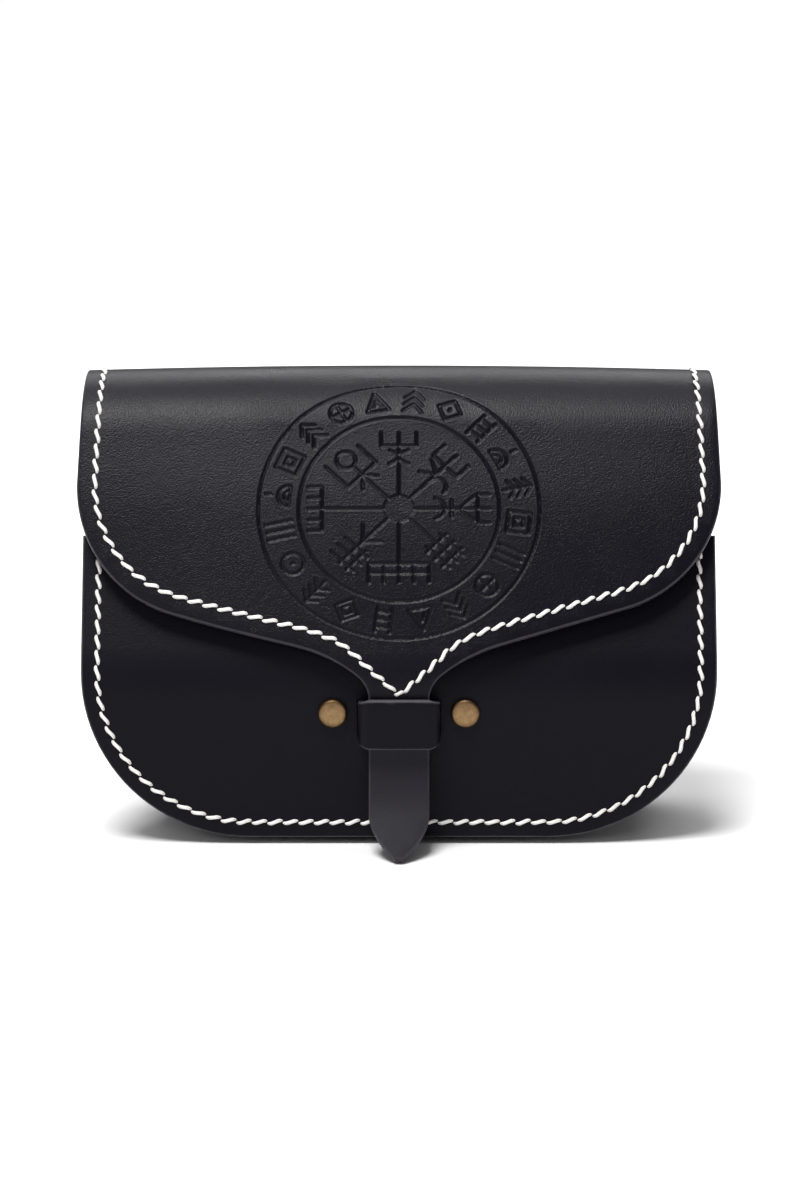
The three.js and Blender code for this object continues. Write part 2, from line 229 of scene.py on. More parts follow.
flap_line = SideLine(bag_depth, 0, math.radians(90))
flap_line.straight(bag_height - back_bend_radius).bend(back_bend_radius, 90)
crown_length = flap_line.length
forward = flap_line.end[0] - front_line.end[0]
below = flap_line.end[1] - fold_radius - front_line.end[1]
reach_to_rim = fold_radius - leather - rim_clearance
flap_lean = math.degrees(math.acos(reach_to_rim / math.hypot(forward, below)) - math.atan2(below, forward))
flap_line.bend(fold_radius, 90 - flap_lean)
fold_end = flap_line.length


def ahead(a, b):
    return -math.cos(math.radians(front_lean)) * a + math.sin(math.radians(front_lean)) * b


end_a, end_b, end_heading = flap_line.end
bend_centre = ahead(
    end_a - math.sin(end_heading) * neck_bend_radius, end_b + math.cos(end_heading) * neck_bend_radius
)
gain = ahead(math.cos(end_heading), math.sin(end_heading))
flap_line.straight((tongue_standoff + leather - neck_bend_radius - bend_centre) / gain)
flap_line.bend(neck_bend_radius, flap_lean - front_lean)
keeper_top = keeper_centre + keeper_height / 2
keeper_foot = keeper_centre - keeper_height / 2
neck_length = flap_line.length + flap_line.end[1] - keeper_top + neck_below_keeper_top
belly_start = fold_end - flap_belly_lead
belly_peak = fold_end + flap_belly_reach
flap_line.straight(flap_line.end[1] - keeper_foot + 1).bend(splay_radius, front_lean - splay_lean)
splay_a, splay_b, splay_heading = flap_line.end
tilt_rise = math.tan(math.radians(stance_tilt))
outer_height = splay_b + (bag_depth - splay_a) * tilt_rise
under_a = splay_a - math.sin(splay_heading) * leather
under_b = splay_b + math.cos(splay_heading) * leather
under_height = under_b + (bag_depth - under_a) * tilt_rise
fall = -math.sin(splay_heading) + math.cos(splay_heading) * tilt_rise
flap_line.straight(min(outer_height, under_height) / fall)

rise_run = belt_depth / math.sin(math.radians(belt_loop_rise))
rise_run -= 2 * belt_loop_bend_radius * math.tan(math.radians(belt_loop_rise / 2))
rise_height = 2 * belt_loop_bend_radius * math.sin(math.radians(belt_loop_rise))
rise_height += rise_run * math.cos(math.radians(belt_loop_rise))
belt_loop_height = belt_slot + 2 * (belt_tab + rise_height)
belt_loop_base = bag_height - back_bend_radius - belt_loop_drop - belt_loop_height
belt_line = SideLine(bag_depth + gap + strap_leather, belt_loop_base, math.radians(90))
belt_line.straight(belt_tab).bend(belt_loop_bend_radius, -belt_loop_rise).straight(rise_run)
belt_line.bend(belt_loop_bend_radius, belt_loop_rise).straight(belt_slot)
belt_line.bend(belt_loop_bend_radius, belt_loop_rise).straight(rise_run)
belt_line.bend(belt_loop_bend_radius, -belt_loop_rise).straight(belt_tab)
shank_hole = 2 * (rivet_shank_radius + gap)
belt_rivet_heights = {
    "low": belt_loop_base + belt_tab / 2,
    "high": belt_loop_base + belt_loop_height - belt_tab / 2,
}

# The keeper's line is a plan: across, then inwards
leg_outside = tongue_half_width + gap + keeper_slack + strap_leather
bridge_outside = tongue_standoff + leather + keeper_slack + strap_leather
tail_front = leather + gap
keeper_line = SideLine(-leg_outside - keeper_tail, tail_front, 0)
leg_run = tail_front - keeper_crease_radius + bridge_outside - keeper_bend_radius
tail_run = keeper_tail - keeper_crease_radius
keeper_line.straight(tail_run).bend(keeper_crease_radius, -90).straight(leg_run)
keeper_line.bend(keeper_bend_radius, 90).straight(2 * (leg_outside - keeper_bend_radius))
keeper_line.bend(keeper_bend_radius, 90).straight(leg_run)
keeper_line.bend(keeper_crease_radius, -90).straight(tail_run)


# From the pattern to the standing pouch

def settle(x, y, z):
    """The leather's soft form: the front swells, and the fold rises a little at the middle"""
    across = 1 - (x / (body_width / 2)) ** 2
    high = np.clip(z / bag_height, 0, 1)
    frontness = np.maximum(0, 1 - y / bag_depth)
    swell = belly_bow * across * frontness * np.sin(math.pi * high)
    return x, y - swell, z + crown_rise * across * high ** 3


tilt_cos, tilt_sin = math.cos(math.radians(stance_tilt)), math.sin(math.radians(stance_tilt))
# The record's back_face mount lies on the back's outer face, 60 mm above its foot
mount_height = 60
back_mount = frame["record"]["mounts"][0]["pos_m"]
stance_back = back_mount[1] / MM - (bag_depth * tilt_cos + mount_height * tilt_sin)
stance_up = bag_depth * tilt_sin


def stand(x, y, z):
    """Lean back on the foot and put the origin under the middle, in metres"""
    x, y, z = settle(x, y, z)
    back = y * tilt_cos + z * tilt_sin + stance_back
    up = z * tilt_cos - y * tilt_sin + stance_up
    return np.stack([x, back, up], -1) * MM


def on_front(x, y, z, height):
    """From a frame on the front panel's lower part to the pouch's own frame"""
    turn = -math.radians(front_lean)
    c, s = math.cos(turn), math.sin(turn)
    a, b, _ = front_line.walk(np.array([height / math.cos(math.radians(front_lean))]))
    return x, y * c - z * s + a[0], y * s + z * c + b[0]


def ease(t):
    """From 0 to 1 with a soft start and end"""
    return t * t * (3 - 2 * t)


def fold_flap(flat, raised):
    """Fold flap pattern points (x, s) with their height over the grain side, and give the flap its curve:
    the bend carries on down the flap's front, and the wing at the viewer's left hangs a little lower"""
    x, s = -flat[:, 0], flat[:, 1]
    outwards = np.clip((-x - wing_hang_start) / wing_hang_run, 0, 1)
    downwards = np.clip((s - fold_end) / wing_hang_run, 0, 1)
    s = s + left_wing_hang * ease(outwards * downwards)
    rise = np.clip((s - belly_start) / (belly_peak - belly_start), 0, 1)
    sink = np.clip((neck_length - s) / (neck_length - belly_peak), 0, 1)
    belly = flap_belly * ease(rise) * ease(sink)
    y, z = flap_line.place(s, -raised - belly)
    return stand(x, y, z)


# Hand tools

def leave_edit():
    if bpy.context.object and bpy.context.object.mode != "OBJECT":
        bpy.ops.object.mode_set(mode="OBJECT")


def only(piece):
    """Make one piece active and the only one selected"""
    leave_edit()
    bpy.ops.object.select_all(action="DESELECT")
    piece.select_set(True)
    bpy.context.view_layer.objects.active = piece


def edit_all(piece):
    """Open one piece in edit mode, all of it selected"""
    only(piece)
    bpy.ops.object.mode_set(mode="EDIT")
    bpy.ops.mesh.select_all(action="SELECT")


def turn_faces_out(piece):
    edit_all(piece)
    bpy.ops.mesh.normals_make_consistent(inside=False)
    leave_edit()


def points_of(piece):
    flat = np.empty(len(piece.data.vertices) * 3)
    piece.data.vertices.foreach_get("co", flat)
    return flat.reshape(-1, 3)


def set_points(piece, points):
    piece.data.vertices.foreach_set("co", np.ascontiguousarray(points, dtype=np.float32).ravel())
    piece.data.update()


def pick_faces(test):
    """In edit mode, select the faces whose middle passes a test"""
    bpy.ops.mesh.select_mode(type="FACE")
    bpy.ops.mesh.select_all(action="DESELECT")
    mesh = bmesh.from_edit_mesh(bpy.context.object.data)
    for face in mesh.faces:
        if test(face.calc_center_median(), face.normal):
            face.select_set(True)
    bmesh.update_edit_mesh(bpy.context.object.data)


def pick_edges(test):
    """In edit mode, select the edges whose two ends pass a test"""
    bpy.ops.mesh.select_mode(type="EDGE")
    bpy.ops.mesh.select_all(action="DESELECT")
    mesh = bmesh.from_edit_mesh(bpy.context.object.data)
    for edge in mesh.edges:
        if test(edge.verts[0].co, edge.verts[1].co):
            edge.select_set(True)
    bmesh.update_edit_mesh(bpy.context.object.data)


def cut_pattern(name, outline, thickness, round_edge):
    """Cut a piece of leather flat, grain side up at height 0, its rims rounded"""
    bpy.ops.object.select_all(action="DESELECT")
    bpy.ops.mesh.primitive_circle_add(vertices=len(outline), radius=10, fill_type="NGON")
    piece = bpy.context.object
    piece.name = name
    set_points(piece, np.array([(x, s, 0.0) for x, s in outline]))
    edit_all(piece)
    bpy.ops.mesh.extrude_region_move(TRANSFORM_OT_translate={"value": (0, 0, -thickness)})
    bpy.ops.mesh.select_all(action="SELECT")
    bpy.ops.mesh.normals_make_consistent(inside=False)
    pick_edges(lambda a, b: abs(a.z - b.z) < 1e-4)
    bpy.ops.mesh.bevel(offset=round_edge, segments=3, affect="EDGES", clamp_overlap=False)
    return piece


def split_many_sided():
    """In edit mode, cut every face of more than four sides into triangles"""
    bpy.ops.mesh.select_mode(type="FACE")
    bpy.ops.mesh.select_all(action="DESELECT")
    mesh = bmesh.from_edit_mesh(bpy.context.object.data)
    for face in mesh.faces:
        if len(face.verts) > 4:
            face.select_set(True)
    bmesh.update_edit_mesh(bpy.context.object.data)
    bpy.ops.mesh.quads_convert_to_tris(quad_method="BEAUTY", ngon_method="BEAUTY")


def score(lengths, along_s=True):
    """In edit mode, cross the pattern with straight edges at these places"""
    normal = (0, 1, 0) if along_s else (1, 0, 0)
    for value in lengths:
        bpy.ops.mesh.select_all(action="SELECT")
        at = (0, value, 0) if along_s else (value, 0, 0)
        bpy.ops.mesh.bisect(plane_co=at, plane_no=normal)


def drill(piece, holes, depth=40):
    """Cut slits and round holes through a flat pattern: each is (x, s, width, height or None)"""
    leave_edit()
    for x, s, width, height in holes:
        bpy.ops.object.select_all(action="DESELECT")
        place = (x, s, 0)
        if height is None:
            bpy.ops.mesh.primitive_cylinder_add(vertices=24, radius=width / 2, depth=depth, location=place)
        else:
            bpy.ops.mesh.primitive_cube_add(size=1, location=place, scale=(width, height, depth))
        cutter = bpy.context.object
        only(piece)
        boolean = piece.modifiers.new("hole", "BOOLEAN")
        boolean.object = cutter
        boolean.operation = "DIFFERENCE"
        boolean.solver = "EXACT"
        bpy.ops.object.modifier_apply(modifier=boolean.name)
        bpy.data.objects.remove(cutter)


def finish_piece(piece, nodes, smooth_degrees=40):
    """Weld, smooth, and tie the piece to the frame"""
    edit_all(piece)
    bpy.ops.mesh.remove_doubles(threshold=1e-6)
    bpy.ops.mesh.dissolve_degenerate(threshold=1e-7)
    leave_edit()
    bpy.ops.object.shade_smooth_by_angle(angle=math.radians(smooth_degrees))
    piece.data.name = piece.name
    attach(piece, "root")
    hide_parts(*nodes)


def store(piece, name, values):
    """Keep one number for each point of a piece, for its material"""
    layer = piece.data.attributes.get(name) or piece.data.attributes.new(name, "FLOAT", "POINT")
    layer.data.foreach_set("value", np.asarray(values, dtype=np.float32))


# Patterns, as points (across, along)

def arc_points(centre, radius, start, end, steps):
    angles = [math.radians(start + (end - start) * i / steps) for i in range(steps + 1)]
    return [(centre[0] + radius * math.cos(a), centre[1] + radius * math.sin(a)) for a in angles]


def body_corner(steps=24):
    """One lower corner of the body, from the foot's straight edge up to the side, for x > 0"""
    return arc_points((body_width / 2 - corner_radius, corner_radius), corner_radius, -90, 0, steps)


def flap_side():
    """The flap's edge for x > 0, from the crown down the side, along the wing and the neck to the tip"""
    edge = []
    x, s = tongue_half_width, neck_length

    def turn(radius, start, end, sign, steps):
        """Follow an arc to the next place; sign says to which side it bends"""
        nonlocal x, s
        for i in range(1, steps + 1):
            a, b = (math.radians(start + (end - start) * k / steps) for k in (i - 1, i))
            x += sign * radius * (math.sin(a) - math.sin(b))
            s -= sign * radius * (math.cos(b) - math.cos(a))
            edge.append((x, s))

    edge.append((x, s))
    turn(neck_radius, 90, shoulder_slope, 1, 10)
    turn(shoulder_radius, shoulder_slope, wing_slope, 1, 10)
    corner_start = flap_half_width - wing_corner_radius * (1 - math.sin(math.radians(wing_slope)))
    s -= (corner_start - x) * math.tan(math.radians(wing_slope))
    x = corner_start
    edge.append((x, s))
    turn(wing_corner_radius, wing_slope, 90, -1, 26)
    edge.append((body_width / 2, crown_length))
    edge.reverse()
    start = flap_line.length - tip_taper
    tip_steps = 12
    for i in range(tip_steps + 1):
        t = i / tip_steps
        half = tip_half_width + (tongue_half_width - tip_half_width) * (1 - t ** tip_roundness)
        edge.append((half, start + t * tip_taper))
    return edge


def both_sides(side):
    return side + [(-x, s) for x, s in reversed(side)]


flap_outline = both_sides(body_corner() + flap_side())
front_outline = both_sides(body_corner() + [(body_width / 2, front_line.length)])


# The stamped figure, drawn as strokes in millimetres from the hub, up towards the fold

def on_arm(angle, strokes):
    """Turn strokes, each point given as (out along the arm, to its right), to this compass angle"""
    c, s = math.cos(math.radians(angle)), math.sin(math.radians(angle))
    return [[(r * s + t * c, r * c - t * s) for r, t in stroke] for stroke in strokes]


def small_arc(r, t, radius, start, end, steps=10):
    angles = [math.radians(start + (end - start) * i / steps) for i in range(steps + 1)]
    return [(r + radius * math.cos(a), t + radius * math.sin(a)) for a in angles]


def comb(r, reach, half, tines):
    """A bar across the arm with tines outwards"""
    strokes = [[(r, -half), (r, half)]]
    for i in range(tines):
        t = -half + 2 * half * i / (tines - 1)
        strokes.append([(r, t), (r + reach, t)])
    return strokes


def compass_figure():
    """Eight staves around a hub, each with its own ending, in the manner of the old stave drawings"""
    strokes = []
    north = [[(hub_radius, 0), (26, 0)]] + comb(21.6, 4.6, 5.6, 3)
    north += [[(20.2, -3.0), (18.6, 0), (20.2, 3.0)], [(15.4, -3.0), (17.0, 0), (15.4, 3.0)]]
    strokes += on_arm(0, north)
    north_east = [[(hub_radius, 0), (25.6, 0)]] + comb(20.6, 5.2, 5.2, 3)
    north_east += [[(19.2, -4.6), (16.6, 0), (13.6, -4.4)], small_arc(13.8, 3.2, 2.9, -90, 90)]
    strokes += on_arm(45, north_east)
    east = [[(hub_radius, 0), (28.4, 0)], small_arc(10.8, 0, 3.6, -80, 80)]
    east += [[(23.8, -4.2), (19.2, 0), (23.8, 4.2)], [(16.6, -2.8), (16.6, 2.8)]] + comb(24.8, 3.6, 4.8, 3)
    strokes += on_arm(90, east)
    south_east = [[(hub_radius, 0), (25.4, 0)]]
    south_east += [[(r, -4.4), (r, 4.4)] for r in (16.8, 20.2, 23.6)]
    south_east += [[(15.4, t), (25.4, t)] for t in (-3.0, 3.0)]
    strokes += on_arm(135, south_east)
    south = [[(hub_radius, 0), (25.0, 0)]] + comb(18.8, 6.2, 9.4, 5)
    south += [[(21.9, -9.4), (21.9, 9.4)]]
    strokes += on_arm(180, south)
    south_west = [[(hub_radius, 0), (26.2, 0)], [(11.8, -4.2), (16.0, 0), (11.8, 4.2)]]
    south_west += [[(r, -4.8), (r, 4.8)] for r in (18.8, 22.0, 25.2)] + [[(17.4, -3.0), (26.2, -3.0)]]
    strokes += on_arm(225, south_west)
    west = [[(hub_radius, 0), (24.2, 0)]] + comb(24.2, 4.2, 7.4, 5)
    strokes += on_arm(270, west)
    north_west = [[(hub_radius, 0), (20.4, 0)], [(16.4, -6.2), (16.4, 6.2)]]
    north_west += [[(16.4, -6.2), (26.4, -6.2)], [(16.4, 6.2), (24.4, 6.2)]]
    north_west += [[(12.6, -3.4), (16.4, 0), (12.6, 3.4)], small_arc(23.6, 0, 3.0, 0, 360, 20)]
    strokes += on_arm(315, north_west)
    return strokes


def ring_marks():
    """Plain geometric stamps round the ring: lozenges, bars, chevrons and the like"""
    def circle(radius):
        return [(radius * math.sin(a), radius * math.cos(a)) for a in np.linspace(0, 2 * math.pi, 15)]

    def diamond(size):
        return [(-size, 0), (0, size), (size, 0), (0, -size), (-size, 0)]

    def square(size):
        return [(-size, -size), (-size, size), (size, size), (size, -size), (-size, -size)]

    def hoop(foot, radius):
        return [(radius * math.cos(a), foot + radius * math.sin(a)) for a in np.linspace(0, math.pi, 11)]

    marks = {
        "lozenge": [diamond(3.9), [(0, -0.5), (0, 0.5)]],
        "lozenge pair": [diamond(3.9), diamond(1.9)],
        "bars": [[(x, -4.2), (x, 4.2)] for x in (-2.6, 0, 2.6)],
        "chevrons": [[(-3.0, y - 1.6), (0, y + 1.5), (3.0, y - 1.6)] for y in (-2.4, 0.2, 2.8)],
        "box": [square(3.5), square(1.3)],
        "fir": [[(0, -4.4), (0, 4.4)]]
        + [[(-2.9, y - 2.2), (0, y), (2.9, y - 2.2)] for y in (-0.6, 1.9, 4.4)],
        "ladder": [[(-2.3, -4.2), (-2.3, 4.2)], [(2.3, -4.2), (2.3, 4.2)]]
        + [[(-2.3, y), (2.3, y)] for y in (-2.6, 0.0, 2.6)],
        "hoops": [hoop(-3.2, 3.6), hoop(-3.2, 1.7), [(-3.6, -3.2), (3.6, -3.2)], [(0, 2.6), (0, 4.2)]],
        "wheel": [circle(3.6), [(-3.6, 0), (3.6, 0)], [(0, -3.6), (0, 3.6)]],
        "ring and dot": [circle(3.5), [(0, -0.3), (0, 0.3)]],
        "peak": [[(-3.5, -3.4), (0, 3.8), (3.5, -3.4), (-3.5, -3.4)],
                 [(-1.4, -1.7), (0, 1.0), (1.4, -1.7)]],
    }
    order = [
        "chevrons", "lozenge", "ladder", "hoops", "fir", "box", "bars", "wheel", "chevrons", "peak",
        "ladder", "lozenge pair", "fir", "ring and dot", "bars", "hoops", "box", "chevrons", "wheel", "peak",
    ]
    middle = (figure_radius + inner_ring_radius) / 2
    strokes = []
    for i, name in enumerate(order):
        angle = 360 * (i + 0.4) / len(order)
        strokes += on_arm(angle, [[(middle + y, x) for x, y in stroke] for stroke in marks[name]])
    return strokes


def fade(value, centre, width):
    """1 at the centre, fading away on both sides"""
    return np.exp(-((value - centre) / width) ** 2)


def stamp_height(x, up):
    """The stamp's relief at points (x, up) from the hub, and how deep in a groove each of them is"""
    up = up / figure_squash
    away = np.full(x.shape, far_away)
    for stroke in compass_figure() + ring_marks():
        low = np.min(stroke, axis=0) - 2
        high = np.max(stroke, axis=0) + 2
        near = np.nonzero((x > low[0]) & (x < high[0]) & (up > low[1]) & (up < high[1]))[0]
        for (x0, y0), (x1, y1) in zip(stroke, stroke[1:]):
            dx, dy = x1 - x0, y1 - y0
            t = np.clip(((x[near] - x0) * dx + (up[near] - y0) * dy) / (dx * dx + dy * dy), 0, 1)
            away[near] = np.minimum(away[near], np.hypot(x[near] - x0 - t * dx, up[near] - y0 - t * dy))
    radius = np.hypot(x, up)
    for ring in (figure_radius, inner_ring_radius):
        away = np.minimum(away, np.abs(radius - ring) * 1.15)
    away = np.minimum(away, np.maximum(radius - hub_radius, 0) + hub_shallow)
    groove = ease(np.clip(1 - away / groove_reach, 0, 1))
    # The stamp bit best at the upper right, and less towards the lower right and the ring's lower left
    bearing = np.arctan2(x, up)
    bite = 0.86 + 0.1 * np.cos(bearing - 0.5) - 0.26 * fade(bearing, 2.2, 0.35)
    bite -= 0.3 * fade(bearing, -2.45, 0.4) * (radius > inner_ring_radius + 1)
    lips = fade(away, groove_reach + 0.25, 0.4)
    return (lip_height * lips - stamp_depth * groove) * bite, groove


# Materials

def new_group(name, inputs, outputs):
    group = bpy.data.node_groups.new(name, "ShaderNodeTree")
    for label, kind, value in inputs:
        socket = group.interface.new_socket(name=label, in_out="INPUT", socket_type=kind)
        if value is not None:
            socket.default_value = value
    for label, kind in outputs:
        group.interface.new_socket(name=label, in_out="OUTPUT", socket_type=kind)
    return group, group.nodes.new("NodeGroupInput"), group.nodes.new("NodeGroupOutput")


def new_material(name):
    material = bpy.data.materials.new(name)
    material.use_nodes = True
    return material, material.node_tree, material.node_tree.nodes["Principled BSDF"]


def object_place(tree):
    return tree.nodes.new("ShaderNodeTexCoord").outputs["Object"]


def piece_value(tree, name):
    """A number that was stored for each point of the piece"""
    node = tree.nodes.new("ShaderNodeAttribute")
    node.attribute_name = name
    return node.outputs["Fac"]


def placed_group(tree, group, place):
    node = tree.nodes.new("ShaderNodeGroup")
    node.node_tree = group
    tree.links.new(place, node.inputs["Vector"])
    return node


def math_node(tree, operation, a, b, clamp=False):
    node = tree.nodes.new("ShaderNodeMath")
    node.operation = operation
    node.use_clamp = clamp
    for socket, value in zip(node.inputs, (a, b)):
        if isinstance(value, (int, float)):
            socket.default_value = value
        else:
            tree.links.new(value, socket)
    return node.outputs[0]


def noise_node(tree, vector, scale, detail, roughness=0.5):
    node = tree.nodes.new("ShaderNodeTexNoise")
    tree.links.new(vector, node.inputs["Vector"])
    node.inputs["Scale"].default_value = scale
    node.inputs["Detail"].default_value = detail
    node.inputs["Roughness"].default_value = roughness
    return node.outputs["Fac"]


def ramp_node(tree, value, low, high):
    node = tree.nodes.new("ShaderNodeMapRange")
    node.clamp = True
    tree.links.new(value, node.inputs["Value"])
    node.inputs["From Min"].default_value = low
    node.inputs["From Max"].default_value = high
    return node.outputs["Result"]


def mix_node(tree, factor, a, b):
    node = tree.nodes.new("ShaderNodeMix")
    node.data_type = "RGBA"
    tree.links.new(factor, node.inputs["Factor"])
    for socket, value in ((node.inputs["A"], a), (node.inputs["B"], b)):
        if isinstance(value, tuple):
            socket.default_value = value
        else:
            tree.links.new(value, socket)
    return node.outputs["Result"]


def add_relief(tree, shader, height, strength, distance):
    relief = tree.nodes.new("ShaderNodeBump")
    relief.inputs["Strength"].default_value = strength
    relief.inputs["Distance"].default_value = distance
    tree.links.new(height, relief.inputs["Height"])
    tree.links.new(relief.outputs["Normal"], shader.inputs["Normal"])


def leather_grain_group():
    """Fine pebbled grain and a broad mottle, the grain stronger in some places than in others"""
    group, given, out = new_group(
        "leather_grain",
        [("Vector", "NodeSocketVector", None), ("Pebble Scale", "NodeSocketFloat", 2300.0)],
        [("Height", "NodeSocketFloat"), ("Mottle", "NodeSocketFloat")],
    )
    vector = given.outputs["Vector"]
    cells = group.nodes.new("ShaderNodeTexVoronoi")
    cells.feature = "SMOOTH_F1"
    warp = noise_node(group, vector, 420, 2)
    shifted = group.nodes.new("ShaderNodeVectorMath")
    shifted.operation = "MULTIPLY_ADD"
    group.links.new(warp, shifted.inputs[0])
    shifted.inputs[1].default_value = (0.0009, 0.0009, 0.0009)
    group.links.new(vector, shifted.inputs[2])
    group.links.new(shifted.outputs["Vector"], cells.inputs["Vector"])
    group.links.new(given.outputs["Pebble Scale"], cells.inputs["Scale"])
    fine = noise_node(group, vector, 1900, 3, 0.6)
    broad = noise_node(group, vector, 34, 3, 0.55)
    pebble = math_node(group, "MULTIPLY", cells.outputs["Distance"], -1.0)
    height = math_node(group, "ADD", pebble, math_node(group, "MULTIPLY", fine, 1.3))
    unevenness = math_node(group, "ADD", math_node(group, "MULTIPLY", broad, 0.8), 0.5)
    group.links.new(math_node(group, "MULTIPLY", height, unevenness), out.inputs["Height"])
    group.links.new(broad, out.inputs["Mottle"])
    return group


def edge_wear_and_highlight_group():
    """A mask of cut and rubbed edges from the piece's own edge value, broken up by noise; the lighter colour
    it brings is partly burnish and partly a painted highlight on the rims
    """
    group, given, out = new_group(
        "edge_wear_and_highlight",
        [("Vector", "NodeSocketVector", None), ("Edge", "NodeSocketFloat", 0.0),
         ("Reach", "NodeSocketFloat", 0.5)],
        [("Mask", "NodeSocketFloat"), ("Fibre", "NodeSocketFloat")],
    )
    patches = noise_node(group, given.outputs["Vector"], 160, 4, 0.6)
    fibre = noise_node(group, given.outputs["Vector"], 1900, 2, 0.7)
    uneven = math_node(group, "ADD", given.outputs["Edge"], math_node(group, "MULTIPLY", patches, 0.5))
    shifted = math_node(group, "SUBTRACT", uneven, given.outputs["Reach"])
    mask = math_node(group, "MULTIPLY", shifted, 2.2, clamp=True)
    group.links.new(mask, out.inputs["Mask"])
    group.links.new(fibre, out.inputs["Fibre"])
    return group


leather_grain = leather_grain_group()
edge_wear_and_highlight = edge_wear_and_highlight_group()
grain_depth = 0.00011


def leather_material(name, face, edge, pressed, roughness, grain_strength, specular):
    """Dyed leather: a faint mottle, edges lighter partly from burnish and partly as a painted highlight,
    darker pressed marks, and a tongue duller from handling and painted lighter for the light it catches
    """
    material, tree, shader = new_material(name)
    place = object_place(tree)
    grain = placed_group(tree, leather_grain, place)
    rubbed_and_highlit_edges = placed_group(tree, edge_wear_and_highlight, place)
    rim = piece_value(tree, "edge")
    handled_and_painted_light = piece_value(tree, "handled_and_painted_light")
    tree.links.new(rim, rubbed_and_highlit_edges.inputs["Edge"])

    lighter = tuple(1.25 * c for c in face[:3]) + (1.0,)
    mottled = mix_node(tree, grain.outputs["Mottle"], face, lighter)
    # Lighter edges: partly rubbed burnish, partly a painted highlight along the rounded rims
    worn_and_highlit = mix_node(tree, rubbed_and_highlit_edges.outputs["Mask"], mottled, edge)
    marked = mix_node(tree, piece_value(tree, "pressed"), worn_and_highlit, pressed)
    # The tongue is mixed towards the edge colour: painted lighter for the light it catches; the drier
    # roughness below is from handling
    tree.links.new(mix_node(tree, handled_and_painted_light, marked, edge), shader.inputs["Base Color"])

    mottle = math_node(tree, "MULTIPLY", grain.outputs["Mottle"], 0.14)
    waxed = math_node(tree, "ADD", mottle, roughness - 0.07)
    drier = math_node(tree, "MULTIPLY", handled_and_painted_light, 0.9)
    tree.links.new(math_node(tree, "ADD", waxed, drier), shader.inputs["Roughness"])

    fibre = math_node(tree, "MULTIPLY", rubbed_and_highlit_edges.outputs["Fibre"], rim)
    height = math_node(tree, "ADD", grain.outputs["Height"], fibre)
    add_relief(tree, shader, height, grain_strength, grain_depth)
    shader.inputs["Specular IOR Level"].default_value = specular
    return material


def thread_material():
    """Waxed linen thread, two plies laid round each other along the stitch, with painted shade in the groove
    between them
    """
    material, tree, shader = new_material("linen_thread")
    place = object_place(tree)
    ply = piece_value(tree, "ply")
    clean = (0.90, 0.89, 0.87, 1.0)
    soiled = (0.74, 0.72, 0.68, 1.0)
    # Painted shade in the groove where the two plies meet
    painted_ply_shade = (0.50, 0.47, 0.42, 1.0)
    soil = ramp_node(tree, noise_node(tree, place, 90, 4, 0.6), 0.45, 0.8)
    body = mix_node(tree, soil, clean, soiled)
    tree.links.new(mix_node(tree, ply, body, painted_ply_shade), shader.inputs["Base Color"])
    fuzz = noise_node(tree, place, 4200, 3, 0.6)
    height = math_node(tree, "SUBTRACT", fuzz, math_node(tree, "MULTIPLY", ply, 1.2))
    add_relief(tree, shader, height, 0.5, 0.0001)
    shader.inputs["Roughness"].default_value = 0.62
    shader.inputs["Sheen Weight"].default_value = 0.15
    return material


def brass_material():
    """Antiqued brass: dark in patches and round the rim, rubbed brighter on the crown"""
    material, tree, shader = new_material("aged_brass")
    place = object_place(tree)
    polished = (0.30, 0.191, 0.096, 1.0)
    dark = (0.075, 0.043, 0.020, 1.0)
    patches = noise_node(tree, place, 620, 5, 0.62)
    scratches = noise_node(tree, place, 3800, 3, 0.65)
    dulled = math_node(tree, "MULTIPLY", patches, 1.1)
    tarnish = ramp_node(tree, math_node(tree, "SUBTRACT", dulled, piece_value(tree, "crown")), -0.64, 0.34)
    tree.links.new(mix_node(tree, tarnish, polished, dark), shader.inputs["Base Color"])
    roughness = math_node(tree, "ADD", math_node(tree, "MULTIPLY", tarnish, 0.2), 0.31)
    tree.links.new(roughness, shader.inputs["Roughness"])
    add_relief(tree, shader, math_node(tree, "ADD", scratches, patches), 0.25, 0.00006)
    shader.inputs["Metallic"].default_value = 1.0
    return material


# The edge colours are partly burnish and partly a painted highlight on the rounded rims
black_leather = leather_material(
    "black_leather",
    face=(0.0038, 0.0033, 0.0062, 1),
    edge=(0.066, 0.062, 0.073, 1),
    pressed=(0.0032, 0.0028, 0.0052, 1),
    roughness=0.40, grain_strength=0.7, specular=0.088,
)
waxed_flap_leather = leather_material(
    "waxed_flap_leather",
    face=(0.0034, 0.0029, 0.0060, 1),
    edge=(0.040, 0.037, 0.046, 1),
    pressed=(0.0028, 0.0024, 0.0050, 1),
    roughness=0.30, grain_strength=0.7, specular=0.13,
)
inner_leather = leather_material(
    "gusset_leather",
    face=(0.0040, 0.0038, 0.0048, 1),
    edge=(0.011, 0.0105, 0.013, 1),
    pressed=(0.0030, 0.0029, 0.0036, 1),
    roughness=0.6, grain_strength=0.6, specular=0.1,
)
linen = thread_material()
brass = brass_material()


# Back and flap

def near_rim(points, outline, reach=0.9):
    """1 on the rim of a flat pattern, falling to 0 a short way in"""
    loop = np.array(outline + outline[:1])
    away = np.full(len(points), far_away)
    for (x0, y0), (x1, y1) in zip(loop, loop[1:]):
        dx, dy = x1 - x0, y1 - y0
        along = (points[:, 0] - x0) * dx + (points[:, 1] - y0) * dy
        t = np.clip(along / (dx * dx + dy * dy + 1e-12), 0, 1)
        away = np.minimum(away, np.hypot(points[:, 0] - x0 - t * dx, points[:, 1] - y0 - t * dy))
    return np.clip(1 - away / reach, 0, 1)


